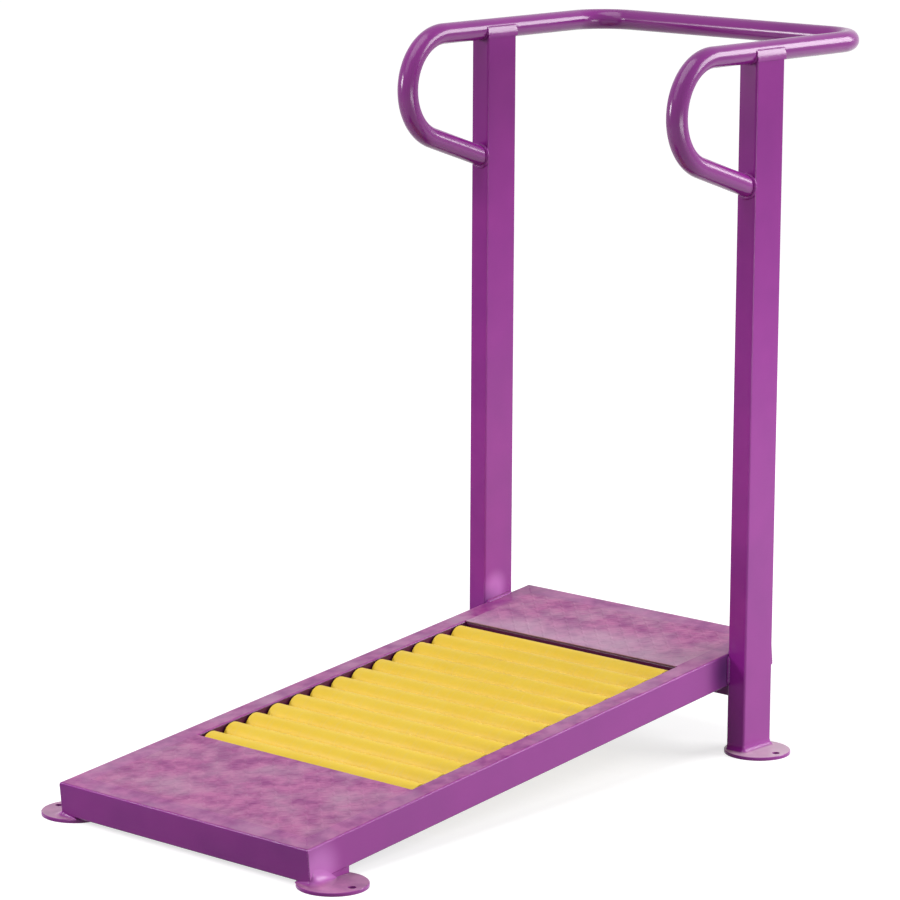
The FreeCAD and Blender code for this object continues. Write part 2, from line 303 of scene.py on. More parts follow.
def trodden_mottle(tree, place):
    """Colour and blots of purple paint that is walked on: plum and pink, a thumb wide, greyed by dust."""
    blot = add_node(tree, "ShaderNodeTexNoise", {"Scale": 1 / (28 * MM), "Detail": 5.0, "Roughness": 0.56},
                    {"Vector": place})
    share = add_node(tree, "ShaderNodeMapRange", {"From Min": 0.37, "From Max": 0.63},
                     {"Value": blot.outputs["Fac"]})
    tone = add_node(tree, "ShaderNodeMix",
                    {"data_type": "RGBA", MIX_A: ink("#822271"), MIX_B: ink("#AD5B91")},
                    {MIX_FACTOR: share.outputs["Result"]})
    # Dust lies in drifts as long as a finger
    drift = add_node(tree, "ShaderNodeTexNoise", {"Scale": 1 / (75 * MM), "Detail": 4.0}, {"Vector": place})
    thick = add_node(tree, "ShaderNodeMapRange", {"From Min": 0.42, "From Max": 0.72, "To Max": 0.5},
                     {"Value": drift.outputs["Fac"]})
    dusty = add_node(tree, "ShaderNodeMix", {"data_type": "RGBA", MIX_B: ink("#B795AA")},
                     {MIX_FACTOR: thick.outputs["Result"], MIX_A: tone.outputs[MIX_COLOUR]})
    return dusty.outputs[MIX_COLOUR], blot.outputs["Fac"]


def well_shade(tree, place):
    """Share of painted shade at a point: 1 in the roller well, below the deck and between the rails."""
    limits = ((X_AXIS, -HALF_BED, HALF_BED), (DECK_ALONG, RAIL_START + RAIL_WIDTH, RAIL_END - RAIL_WIDTH),
              (DECK_SQUARE, RAIL_BOTTOM, RAIL_TOP - 1.5 * MM))
    share = None
    for way, low, high in limits:
        along = add_node(tree, "ShaderNodeVectorMath", {"operation": "DOT_PRODUCT", 1: way.tolist()},
                         {0: place})
        off = add_node(tree, "ShaderNodeMath", {"operation": "SUBTRACT", 1: float(low + high) / 2},
                       {0: along.outputs["Value"]})
        far = add_node(tree, "ShaderNodeMath", {"operation": "ABSOLUTE"}, {0: off.outputs["Value"]})
        reach = float(high - low) / 2
        inside = add_node(tree, "ShaderNodeMapRange",
                          {"From Min": reach + 0.2 * MM, "From Max": reach + 1.2 * MM,
                           "To Min": 1.0, "To Max": 0.0}, {"Value": far.outputs["Value"]}).outputs["Result"]
        if share:
            inside = add_node(tree, "ShaderNodeMath", {"operation": "MULTIPLY"},
                              {0: inside, 1: share}).outputs["Value"]
        share = inside
    return share


def side_mark(tree, place, middle, reach):
    """How much a mark covers a point: 1 at its middle, on both sides of the frame, fading to 0."""
    split = add_node(tree, "ShaderNodeSeparateXYZ", {}, {"Vector": place})
    from_middle = add_node(tree, "ShaderNodeMath", {"operation": "ABSOLUTE"}, {0: split.outputs["X"]})
    one_side = add_node(tree, "ShaderNodeCombineXYZ", {},
                        {"X": from_middle.outputs["Value"], "Y": split.outputs["Y"], "Z": split.outputs["Z"]})
    far = add_node(tree, "ShaderNodeVectorMath", {"operation": "DISTANCE", 1: middle},
                   {0: one_side.outputs["Vector"]})
    mark = add_node(tree, "ShaderNodeMapRange", {"interpolation_type": "SMOOTHSTEP", "From Min": 0.2 * reach,
                                                 "From Max": reach, "To Min": 1.0, "To Max": 0.0},
                    {"Value": far.outputs["Value"]})
    return mark.outputs["Result"]


def purple_enamel(name, sheen, smooth, rough):
    """Purple enamel, sprayed on welded steel tube and baked: glossy on the posts, trodden on the deck."""
    finish, tree, shader, place = new_finish(name, {"IOR": 1.5, "Specular IOR Level": sheen})
    # The coat is thicker in some hand-sized patches, where it is deeper in colour and smoother
    patch = add_node(tree, "ShaderNodeTexNoise", {"Scale": 1 / (110 * MM), "Detail": 2.0}, {"Vector": place})
    paint = add_node(tree, "ShaderNodeMix",
                     {"data_type": "RGBA", MIX_A: ink("#7F1886"), MIX_B: ink("#A62EA0")},
                     {MIX_FACTOR: patch.outputs["Fac"]})
    gloss = add_node(tree, "ShaderNodeMapRange", {"To Min": smooth, "To Max": rough},
                     {"Value": patch.outputs["Fac"]})
    facing = add_node(tree, "ShaderNodeSeparateXYZ", {},
                      {"Vector": add_node(tree, "ShaderNodeNewGeometry").outputs["Normal"]})
    split = add_node(tree, "ShaderNodeSeparateXYZ", {}, {"Vector": place})
    height = split.outputs["Z"]
    # Higher up, the colour is deeper
    high_up = add_node(tree, "ShaderNodeMapRange",
                     {"From Min": DEEP_FROM, "From Max": DEEP_ABOVE, "To Max": 0.55}, {"Value": height})
    deep = add_node(tree, "ShaderNodeMix", {"data_type": "RGBA", MIX_B: ink("#761B72")},
                    {MIX_FACTOR: high_up.outputs["Result"], MIX_A: paint.outputs[MIX_COLOUR]})
    # Faces that look sideways are paler and pinker towards the bottom
    sideways = add_node(tree, "ShaderNodeMath", {"operation": "ABSOLUTE"}, {0: facing.outputs["X"]})
    low_down = add_node(tree, "ShaderNodeMapRange",
                        {"From Min": SIDE_PALE_FROM, "From Max": SIDE_PALE_ABOVE, "To Min": 0.45, "To Max": 0.0},
                        {"Value": height})
    low_side_share = add_node(tree, "ShaderNodeMath", {"operation": "MULTIPLY"},
                    {0: sideways.outputs["Value"], 1: low_down.outputs["Result"]})
    low_side_paled = add_node(tree, "ShaderNodeMix", {"data_type": "RGBA", MIX_B: ink("#B464AC")},
                      {MIX_FACTOR: low_side_share.outputs["Value"], MIX_A: deep.outputs[MIX_COLOUR]})
    # Painted highlights, pale pink, on the posts just above the deck and on the frame's sides at their front
    # corners
    highlight_marks = add_node(tree, "ShaderNodeMath", {"operation": "MAXIMUM"},
                     {0: side_mark(tree, place, POST_HIGHLIGHT_MIDDLE, 42 * MM),
                      1: side_mark(tree, place, CORNER_HIGHLIGHT_MIDDLE, 62 * MM)})
    rubbed_and_highlit = add_node(tree, "ShaderNodeMath", {"operation": "MULTIPLY"},
                      {0: highlight_marks.outputs["Value"], 1: sideways.outputs["Value"]})
    highlight_share = add_node(tree, "ShaderNodeMath", {"operation": "MULTIPLY", 1: 0.95}, {0: rubbed_and_highlit.outputs["Value"]})
    highlighted = add_node(tree, "ShaderNodeMix", {"data_type": "RGBA", MIX_B: ink("#D080CE")},
                      {MIX_FACTOR: highlight_share.outputs["Value"], MIX_A: low_side_paled.outputs[MIX_COLOUR]})
    # Painted shadow of the post, on the rail's side in the corner that it makes with the post
    post_shadow = add_node(tree, "ShaderNodeMath", {"operation": "MULTIPLY"},
                    {0: side_mark(tree, place, POST_SHADOW_MIDDLE, 80 * MM), 1: sideways.outputs["Value"]})
    post_shadowed = add_node(tree, "ShaderNodeMix", {"data_type": "RGBA", MIX_B: ink("#573069")},
                       {MIX_FACTOR: post_shadow.outputs["Value"], MIX_A: highlighted.outputs[MIX_COLOUR]})
    # Shoes and dust wear what faces up, from the foot plates to the deck
    upward = add_node(tree, "ShaderNodeMapRange", {"From Min": 0.7, "From Max": 0.95},
                      {"Value": facing.outputs["Z"]})
    underfoot = add_node(tree, "ShaderNodeMapRange",
                         {"From Min": DECK_HEIGHT, "From Max": DECK_HEIGHT + 60 * MM,
                          "To Min": 0.8, "To Max": 0.0}, {"Value": height})
    trodden = add_node(tree, "ShaderNodeMath", {"operation": "MULTIPLY"},
                       {0: upward.outputs["Result"], 1: underfoot.outputs["Result"]})
    mottle, _ = trodden_mottle(tree, place)
    walked = add_node(tree, "ShaderNodeMix", {"data_type": "RGBA"},
                      {MIX_FACTOR: trodden.outputs["Value"], MIX_A: post_shadowed.outputs[MIX_COLOUR],
                       MIX_B: mottle})
    # Foot plates are paler on top, and more so at the back than at the front
    ground = add_node(tree, "ShaderNodeMapRange", {"From Min": FOOT_TOP, "From Max": FOOT_TOP + 5 * MM,
                                                   "To Min": 1.0, "To Max": 0.0}, {"Value": height})
    toward_back = add_node(tree, "ShaderNodeMapRange",
                         {"From Min": RAIL_START, "From Max": RAIL_END, "To Min": 0.22, "To Max": 0.75},
                         {"Value": split.outputs["Y"]})
    foot_share = add_node(tree, "ShaderNodeMath", {"operation": "MULTIPLY"},
                     {0: ground.outputs["Result"], 1: toward_back.outputs["Result"]})
    foot_pale = add_node(tree, "ShaderNodeMath", {"operation": "MULTIPLY"},
                    {0: upward.outputs["Result"], 1: foot_share.outputs["Value"]})
    foot_paled = add_node(tree, "ShaderNodeMix", {"data_type": "RGBA", MIX_B: ink("#DDBFD0")},
                     {MIX_FACTOR: foot_pale.outputs["Value"], MIX_A: walked.outputs[MIX_COLOUR]})
    # Painted shade: the roller well, below the deck and between the rails, is darkened almost to black
    shade_share = add_node(tree, "ShaderNodeMath", {"operation": "MULTIPLY", 1: 0.8}, {0: well_shade(tree, place)})
    shade_painted = add_node(tree, "ShaderNodeMix", {"data_type": "RGBA", MIX_B: ink("#3A1A1C")},
                     {MIX_FACTOR: shade_share.outputs["Value"], MIX_A: foot_paled.outputs[MIX_COLOUR]})
    tree.links.new(shade_painted.outputs[MIX_COLOUR], shader.inputs["Base Color"])
    dull = add_node(tree, "ShaderNodeMix", {"data_type": "FLOAT", MIX_FLOAT_B: 0.34},
                    {MIX_FACTOR: trodden.outputs["Value"], MIX_FLOAT_A: gloss.outputs["Result"]})
    tree.links.new(dull.outputs[MIX_FLOAT], shader.inputs["Roughness"])
    # Orange peel is about 1 mm; drawn at 6 mm, so that it shows
    peel = add_node(tree, "ShaderNodeTexNoise", {"Scale": 1 / (6 * MM), "Detail": 2.0}, {"Vector": place})
    bump = add_node(tree, "ShaderNodeBump", {"Strength": 0.2, "Distance": 0.08 * MM},
                    {"Height": peel.outputs["Fac"]})
    tree.links.new(bump.outputs["Normal"], shader.inputs["Normal"])
    return finish


def trodden_chequer_enamel():
    """Purple enamel on rolled chequer plate, trodden dull: mottled, with the tears a little paler."""
    finish, tree, shader, place = new_finish("trodden_chequer_enamel",
                                             {"IOR": 1.5, "Specular IOR Level": 0.45})
    mottle, blot = trodden_mottle(tree, place)
    # The start of the rear plate is paler
    along = add_node(tree, "ShaderNodeVectorMath", {"operation": "DOT_PRODUCT", 1: DECK_ALONG.tolist()},
                     {0: place})
    from_edge = add_node(tree, "ShaderNodeMath", {"operation": "SUBTRACT", 1: REAR_PLATE_START + 10 * MM},
                         {0: along.outputs["Value"]})
    distance = add_node(tree, "ShaderNodeMath", {"operation": "ABSOLUTE"}, {0: from_edge.outputs["Value"]})
    scuff = add_node(tree, "ShaderNodeMapRange", {"From Max": 110 * MM, "To Min": 0.45, "To Max": 0.0},
                     {"Value": distance.outputs["Value"]})
    scuffed = add_node(tree, "ShaderNodeMix", {"data_type": "RGBA", MIX_B: ink("#C9AEC0")},
                       {MIX_FACTOR: scuff.outputs["Result"], MIX_A: mottle})
    # Height above the sheet: the tops of the tears are rubbed
    height = add_node(tree, "ShaderNodeVectorMath", {"operation": "DOT_PRODUCT", 1: DECK_SQUARE.tolist()},
                      {0: place})
    rubbed_and_highlit = add_node(tree, "ShaderNodeMapRange", {"From Min": RAIL_TOP + 0.3 * TEAR_RISE,
                                                   "From Max": RAIL_TOP + TEAR_RISE, "To Max": 0.06},
                      {"Value": height.outputs["Value"]})
    dulled = add_node(tree, "ShaderNodeMapRange",
                      {"From Min": RAIL_TOP, "From Max": RAIL_TOP + 0.3 * TEAR_RISE, "To Max": 0.5},
                      {"Value": height.outputs["Value"]})
    worn = add_node(tree, "ShaderNodeMix", {"data_type": "RGBA", MIX_B: ink("#C79DB9")},
                    {MIX_FACTOR: rubbed_and_highlit.outputs["Result"], MIX_A: scuffed.outputs[MIX_COLOUR]})
    # Painted shade darkens the edges that face the rollers
    edge_shade = add_node(tree, "ShaderNodeMapRange",
                     {"From Min": RAIL_TOP - 1.5 * MM, "From Max": RAIL_TOP - 0.4 * MM,
                      "To Min": 0.8, "To Max": 0.0}, {"Value": height.outputs["Value"]})
    shade_painted = add_node(tree, "ShaderNodeMix", {"data_type": "RGBA", MIX_B: ink("#3A1A1C")},
                     {MIX_FACTOR: edge_shade.outputs["Result"], MIX_A: worn.outputs[MIX_COLOUR]})
    tree.links.new(shade_painted.outputs[MIX_COLOUR], shader.inputs["Base Color"])
    gloss = add_node(tree, "ShaderNodeMapRange",
                     {"From Min": 0.3, "From Max": 0.7, "To Min": 0.28, "To Max": 0.42}, {"Value": blot})
    dull = add_node(tree, "ShaderNodeMath", {"operation": "MAXIMUM"},
                    {0: gloss.outputs["Result"], 1: dulled.outputs["Result"]})
    tree.links.new(dull.outputs["Value"], shader.inputs["Roughness"])
    # Grit under the shoes leaves pits about 3 mm apart
    grit = add_node(tree, "ShaderNodeTexNoise", {"Scale": 1 / (3 * MM), "Detail": 3.0}, {"Vector": place})
    bump = add_node(tree, "ShaderNodeBump", {"Strength": 0.4, "Distance": 0.15 * MM},
                    {"Height": grit.outputs["Fac"]})
    tree.links.new(bump.outputs["Normal"], shader.inputs["Normal"])
    return finish


def yellow_roller_enamel():
    """Yellow enamel on drawn tube: satin, with scuffs that run round the roller where soles turn it."""
    finish, tree, shader, place = new_finish("yellow_roller_enamel", {"IOR": 1.5, "Specular IOR Level": 0.4})
    # Scuffs are narrow across the roller and long round it
    stretch = add_node(tree, "ShaderNodeMapping", {"Scale": (1 / (4 * MM), 1 / (60 * MM), 1 / (60 * MM))},
                       {"Vector": place})
    scuff = add_node(tree, "ShaderNodeTexNoise", {"Scale": 1.0, "Detail": 4.0, "Roughness": 0.6},
                     {"Vector": stretch.outputs["Vector"]})
    share = add_node(tree, "ShaderNodeMapRange", {"From Min": 0.5, "From Max": 0.8, "To Max": 0.4},
                     {"Value": scuff.outputs["Fac"]})
    patch = add_node(tree, "ShaderNodeTexNoise", {"Scale": 1 / (80 * MM), "Detail": 3.0}, {"Vector": place})
    paint = add_node(tree, "ShaderNodeMix",
                     {"data_type": "RGBA", MIX_A: ink("#E8C127"), MIX_B: ink("#EFCF46")},
                     {MIX_FACTOR: patch.outputs["Fac"]})
    scuffed = add_node(tree, "ShaderNodeMix", {"data_type": "RGBA", MIX_B: ink("#E3C878")},
                       {MIX_FACTOR: share.outputs["Result"], MIX_A: paint.outputs[MIX_COLOUR]})
    tree.links.new(scuffed.outputs[MIX_COLOUR], shader.inputs["Base Color"])
    gloss = add_node(tree, "ShaderNodeMapRange",
                     {"From Min": 0.3, "From Max": 0.7, "To Min": 0.42, "To Max": 0.58},
                     {"Value": scuff.outputs["Fac"]})
    tree.links.new(gloss.outputs["Result"], shader.inputs["Roughness"])
    bump = add_node(tree, "ShaderNodeBump", {"Strength": 0.2, "Distance": 0.08 * MM},
                    {"Height": scuff.outputs["Fac"]})
    tree.links.new(bump.outputs["Normal"], shader.inputs["Normal"])
    return finish


def drawn_axle_steel():
    """Bright drawn steel bar: fine lines along X, a little dulled by oil and weather."""
    finish, tree, shader, place = new_finish("drawn_axle_steel", {"Metallic": 1.0})
    stretch = add_node(tree, "ShaderNodeMapping", {"Scale": (1 / (40 * MM), 1 / (1 * MM), 1 / (1 * MM))},
                       {"Vector": place})
    line = add_node(tree, "ShaderNodeTexNoise", {"Scale": 1.0, "Detail": 3.0},
                    {"Vector": stretch.outputs["Vector"]})
    tone = add_node(tree, "ShaderNodeMix",
                    {"data_type": "RGBA", MIX_A: ink("#8C8A86"), MIX_B: ink("#B9B7B2")},
                    {MIX_FACTOR: line.outputs["Fac"]})
    tree.links.new(tone.outputs[MIX_COLOUR], shader.inputs["Base Color"])
    gloss = add_node(tree, "ShaderNodeMapRange", {"To Min": 0.25, "To Max": 0.45},
                     {"Value": line.outputs["Fac"]})
    tree.links.new(gloss.outputs["Result"], shader.inputs["Roughness"])
    return finish


def moulded_hub_nylon():
    """Black nylon, injection moulded: satin, with a fine spark-eroded grain."""
    finish, tree, shader, place = new_finish("moulded_hub_nylon", {"IOR": 1.53})
    grain = add_node(tree, "ShaderNodeTexNoise", {"Scale": 1 / (1.2 * MM), "Detail": 3.0}, {"Vector": place})
    tone = add_node(tree, "ShaderNodeMix",
                    {"data_type": "RGBA", MIX_A: ink("#17171A"), MIX_B: ink("#26262A")},
                    {MIX_FACTOR: grain.outputs["Fac"]})
    tree.links.new(tone.outputs[MIX_COLOUR], shader.inputs["Base Color"])
    gloss = add_node(tree, "ShaderNodeMapRange", {"To Min": 0.4, "To Max": 0.6},
                     {"Value": grain.outputs["Fac"]})
    tree.links.new(gloss.outputs["Result"], shader.inputs["Roughness"])
    bump = add_node(tree, "ShaderNodeBump", {"Strength": 0.3, "Distance": 0.05 * MM},
                    {"Height": grain.outputs["Fac"]})
    tree.links.new(bump.outputs["Normal"], shader.inputs["Normal"])
    return finish


def ground_bearing_steel():
    """Bearing steel, ground and polished: bright, with a thin film of grease."""
    finish, tree, shader, place = new_finish("ground_bearing_steel", {"Metallic": 1.0})
    film = add_node(tree, "ShaderNodeTexNoise", {"Scale": 1 / (6 * MM), "Detail": 3.0}, {"Vector": place})
    tone = add_node(tree, "ShaderNodeMix",
                    {"data_type": "RGBA", MIX_A: ink("#9A9488"), MIX_B: ink("#C6C4BF")},
                    {MIX_FACTOR: film.outputs["Fac"]})
    tree.links.new(tone.outputs[MIX_COLOUR], shader.inputs["Base Color"])
    gloss = add_node(tree, "ShaderNodeMapRange", {"To Min": 0.15, "To Max": 0.35},
                     {"Value": film.outputs["Fac"]})
    tree.links.new(gloss.outputs["Result"], shader.inputs["Roughness"])
    return finish


# Roughness stays below 0.27 here, and above it on the plates: renders showed faint rings where it crossed
enamel = purple_enamel("baked_purple_enamel", sheen=0.22, smooth=0.21, rough=0.265)
# Hands keep the handrail bright
handled = purple_enamel("handled_purple_enamel", sheen=0.42, smooth=0.14, rough=0.265)
chequer = trodden_chequer_enamel()
finishes = {
    "frame_paint": enamel,
    "tread_plate": chequer,
    "roller_paint": yellow_roller_enamel(),
    "axle_steel": drawn_axle_steel(),
    "hub_plastic": moulded_hub_nylon(),
    "bearing_steel": ground_bearing_steel(),
}
for node in frame["nodes"].values():
    for holder in node.material_slots:
        holder.material = finishes[holder.material.name.split(".")[0]]
for holder in frame["nodes"]["post_caps"].material_slots:
    holder.material = handled


# Handrail

def bent_handrail(side):
    """Round tube along lower leg, loop, top bar and rear corner.

    The path is straight runs and arcs. Leg, loop and bar lie in the plane of the post, so there the ring's
    side direction stays X; the rear corner lies flat, so there its up direction stays down.
    """
    bend_y = LOOP_FRONT + LOOP_RADIUS
    bend_z = BAR_HEIGHT - LOOP_RADIUS
    turn = arc(1.5 * np.pi - LEG_ANGLE, 0.5 * np.pi, LOOP_STEPS)
    loop = np.stack([np.full_like(turn, POST_X), bend_y + LOOP_RADIUS * np.cos(turn),
                     bend_z + LOOP_RADIUS * np.sin(turn)], -1)
    leg_way = np.array([0, -math.cos(LEG_ANGLE), math.sin(LEG_ANGLE)])
    leg_length = (POST_LOW[1] - loop[0, 1]) / math.cos(LEG_ANGLE)
    leg = loop[:1] - leg_length * leg_way
    sweep = arc(0, 0.5 * np.pi, CORNER_STEPS)
    corner = np.stack([POST_X - CORNER_RADIUS + CORNER_RADIUS * np.cos(sweep),
                       CROSSBAR_Y - CORNER_RADIUS + CORNER_RADIUS * np.sin(sweep),
                       np.full_like(sweep, BAR_HEIGHT)], -1)
    path = np.concatenate([leg, loop, corner])
    heading = np.concatenate([leg_way[None], np.stack([0 * turn, np.sin(turn), -np.cos(turn)], -1),
                              np.stack([-np.sin(sweep), np.cos(sweep), 0 * sweep], -1)])
    in_plane = np.concatenate([np.ones(len(turn) + 1), np.zeros(len(sweep))])[:, None] > 0
    up = np.where(in_plane, np.cross(heading, X_AXIS), -Z_AXIS)
    across = np.where(in_plane, X_AXIS, np.cross(up, heading))
    rings = carried(circle(TUBE_RADIUS, TUBE_AROUND), path, across, up)
    # The leg's end ring slides along the leg until it meets the post's face
    short = (POST_LOW[1] - rings[0, :, 1:2]) / leg_way[1]
    rings[0] += short * leg_way
    return rings * [side, 1, 1]


def crossbar():
    """Round tube along X between the ends of the two rear corners."""
    path = np.array([[CROSS_LOW[0], CROSSBAR_Y, BAR_HEIGHT], [CROSS_HIGH[0], CROSSBAR_Y, BAR_HEIGHT]])
    return carried(circle(TUBE_RADIUS, TUBE_AROUND), path, np.tile(Y_AXIS, (2, 1)), np.tile(Z_AXIS, (2, 1)))


for side, name in ((-1, "left"), (1, "right")):
    make_piece(f"handrail_tube_{name}", [capped_skin(bent_handrail(side))], handled,
               replaced=[f"handrail_{name}"])
make_piece("handrail_tube_cross", [capped_skin(crossbar())], handled,
           replaced=["handrail_cross"])


# Rollers

def roller_skin(axle):
    """Tube wall turned about its axle: outer face, eased rims, end faces and bore as one closed profile."""
    turn = arc(0, np.pi / 2, 6)
    rim_x = ROLLER_HALF - ROLLER_EASE + ROLLER_EASE * np.sin(turn)
    rim_r = ROLLER_RADIUS - ROLLER_EASE + ROLLER_EASE * np.cos(turn)
    bore = ROLLER_RADIUS - ROLLER_WALL
    along = np.concatenate([rim_x, [ROLLER_HALF, -ROLLER_HALF], -rim_x[::-1]])
    radius = np.concatenate([rim_r, [bore, bore], rim_r[::-1]])
    round_turn = np.linspace(0, 2 * np.pi, ROLLER_AROUND, endpoint=False)
    return axle + np.stack(np.broadcast_arrays(along[:, None], radius[:, None] * np.cos(round_turn),
                                               radius[:, None] * np.sin(round_turn)), -1)


for number, axle in enumerate(axle_points, 1):
    make_piece(f"roller_{number:02d}_skin", [closed_skin(roller_skin(axle))], finishes["roller_paint"],
               body=f"roller_{number:02d}", replaced=[f"roller_{number:02d}_tube"])


# Chequer plates

def plate_tears(node):
    """Rolled tears of a chequer plate, each a closed spindle half sunk in the sheet.

    Width and height fall from the middle to both tips as 1 - u squared. Tears sit on a square grid, and
    neighbours are turned one way and the other by 45 degrees.
    """
    start, end, _, top = deck_span(node)
    margin = 0.4 * TEAR_LENGTH
    along_u = np.array([-0.94, -0.7, -0.25, 0.25, 0.7, 0.94])
    fall = (1 - along_u ** 2)[:, None]
    turn = np.radians([0, 36, 72, 108, 144, 180, 270])
    long_way = 0.5 * TEAR_LENGTH * along_u[:, None] + 0 * turn
    cross_way = 0.5 * TEAR_WIDTH * fall * np.cos(turn)
    rise = TEAR_RISE * np.sqrt(fall) * np.sin(turn)
    across_count = int((2 * HALF_BED - 2 * margin) / TEAR_PITCH)
    along_count = int((end - start - 2 * margin) / TEAR_PITCH)
    skins = []
    for row in range(along_count + 1):
        for column in range(across_count + 1):
            middle_x = (column - across_count / 2) * TEAR_PITCH
            middle_s = (start + end) / 2 + (row - along_count / 2) * TEAR_PITCH
            way = math.radians(45 if (row + column) % 2 else -45)
            across = middle_x + long_way * math.cos(way) - cross_way * math.sin(way)
            along = middle_s + long_way * math.sin(way) + cross_way * math.cos(way)
            skins.append(capped_skin(on_deck(across, along, top + rise)))
    return skins


for name in ("front_plate", "rear_plate"):
    make_piece(f"{name}_tears", plate_tears(name), chequer)


# Welds

def weld_bead(corners, radius, closed=False, ripple=0.13):
    """A laid weld: rings about a flat path, whose radius swells once in each ripple and drifts slowly.

    An open bead draws in to nothing over its first and last ripple.
    """
    line = np.concatenate([corners, corners[:1]]) if closed else np.asarray(corners)
    steps = np.linalg.norm(np.diff(line, axis=0), axis=1)
    reach = np.concatenate([[0], np.cumsum(steps)])
    ripples = max(3, round(reach[-1] / WELD_RIPPLE))
    place = np.linspace(0, reach[-1], ripples * WELD_SAMPLES + 1)
    path = np.stack([np.interp(place, reach, line[:, axis]) for axis in range(3)], -1)
    flat = np.linalg.svd(path - path.mean(0))[2][-1]
    phase = 2 * np.pi * place / reach[-1]
    swell = 1 + ripple * np.cos(phase * ripples) + 0.06 * np.sin(3 * phase) + 0.05 * np.cos(7 * phase)
    if closed:
        path, swell = path[:-1], swell[:-1]
        heading = np.roll(path, -1, axis=0) - np.roll(path, 1, axis=0)
    else:
        heading = np.gradient(path, axis=0)
        edge = np.minimum(place, reach[-1] - place) / (reach[-1] / ripples)
        swell *= np.sqrt(np.clip(edge, 0.02, 1))
    heading /= np.linalg.norm(heading, axis=1, keepdims=True)
    profile = circle(1.0, WELD_AROUND) * (radius * swell)[:, None, None]
    rings = carried(profile, path, np.tile(flat, (len(path), 1)), np.cross(heading, flat))
    return closed_skin(rings) if closed else capped_skin(rings)


def mitre_seam(side, station, inward):
    """Up the outer corner of two mitred rails, over their rounded top edges and in to the plate."""
    sunk = 1.2 * MM
    inset = np.concatenate([RAIL_CORNER * (1 - np.cos(arc(0, np.pi / 2, 6))),
                            RAIL_WIDTH - RAIL_CORNER * (1 - np.cos(arc(np.pi / 2, 0, 6)))])
    edge = np.minimum(inset, RAIL_WIDTH - inset)
    drop = RAIL_CORNER - np.sqrt(RAIL_CORNER ** 2 - np.clip(RAIL_CORNER - edge, 0, None) ** 2)
    across = np.concatenate([[HALF_WIDTH], HALF_WIDTH - inset]) - sunk
    along = station + inward * (np.concatenate([[0], inset]) + sunk)
    above = np.concatenate([[RAIL_BOTTOM + RAIL_CORNER], RAIL_TOP - drop - sunk])
    return weld_bead(on_deck(side * across, along, above), MITRE_BEAD)


def groove_fill(ends, outward):
    """Weld that fills the groove along a plate's edge, dressed level: a low, rippled hump on a wedge."""
    profile = np.array([[-0.8, -1.6], [-0.5, -0.1], [1.0, 0.15], [2.6, 0.12], [4.2, -0.15], [4.4, -1.6],
                        [1.6, -2.8]]) * MM
    first, last = np.asarray(ends)
    count = int(np.linalg.norm(last - first) / WELD_RIPPLE) * WELD_SAMPLES
    place = np.linspace(0, 1, count + 1)[:, None]
    ripple = 1 + 0.5 * np.cos(2 * np.pi * place * count / WELD_SAMPLES)
    up = np.where(profile[:, 1] > 0, ripple * profile[:, 1], profile[:, 1])
    path = first + place * (last - first)
    return capped_skin(path[:, None] + profile[:, :1] * outward + up[..., None] * DECK_SQUARE)


def plate_seams(node):
    """Filled grooves between a tread plate and the rails on three sides of it."""
    start, end, _, top = deck_span(node)
    span = np.array([start, end])
    seams = [groove_fill(on_deck(side * HALF_BED, span, top), side * X_AXIS) for side in (-1, 1)]
    front = start - RAIL_START < RAIL_END - end
    edge, outward = (start, -DECK_ALONG) if front else (end, DECK_ALONG)
    return seams + [groove_fill(on_deck(np.array([-HALF_BED, HALF_BED]), edge, top), outward)]


def post_seams(side):
    """Where a post stands against the side rail: both upright grooves, and the one over the rail's edge."""
    inset, stand_off, sunk = 1.2 * MM, 1.5 * MM, 1.6 * MM
    rise = DECK_ALONG[2] / DECK_ALONG[1]
    heights = np.array([RAIL_BOTTOM + RAIL_CORNER, RAIL_TOP - RAIL_CORNER]) / DECK_ALONG[1]
    seams = []
    for y in (POST_LOW[1] + inset, POST_HIGH[1] - inset):
        x = np.full(2, side * (HALF_WIDTH + stand_off))
        seams.append(weld_bead(np.stack([x, np.full(2, y), heights + y * rise], -1), POST_BEAD, ripple=0.05))
    y = np.array([POST_LOW[1] + POST_CORNER, POST_HIGH[1] - POST_CORNER])
    top = np.stack([np.full(2, side * (HALF_WIDTH - sunk)), y,
                    (RAIL_TOP - sunk) / DECK_ALONG[1] + y * rise], -1)
    return seams + [weld_bead(top, POST_TOP_BEAD, ripple=0.03)]


def cove_weld(path, outward, tall, wide, closed=False):
    """Hollow fillet between an upright face and a plate or rail below it.

    A quarter circle with its hollow side out, drawn as tall and as wide as given at each path point, on a
    foot that is sunk into both.
    """
    turn = arc(0, np.pi / 2, 9)
    sunk = 1 * MM
    tall, wide = np.broadcast_to(tall, len(path))[:, None], np.broadcast_to(wide, len(path))[:, None]
    flat = np.ones_like(tall)
    out = np.concatenate([wide * (1 - np.cos(turn)), wide, -sunk * flat, -sunk * flat], 1)
    up = np.concatenate([tall * (1 - np.sin(turn)), -sunk * flat, -sunk * flat, tall], 1)
    rings = path[:, None] + out[..., None] * outward[:, None] + up[..., None] * Z_AXIS
    return closed_skin(rings) if closed else capped_skin(rings)


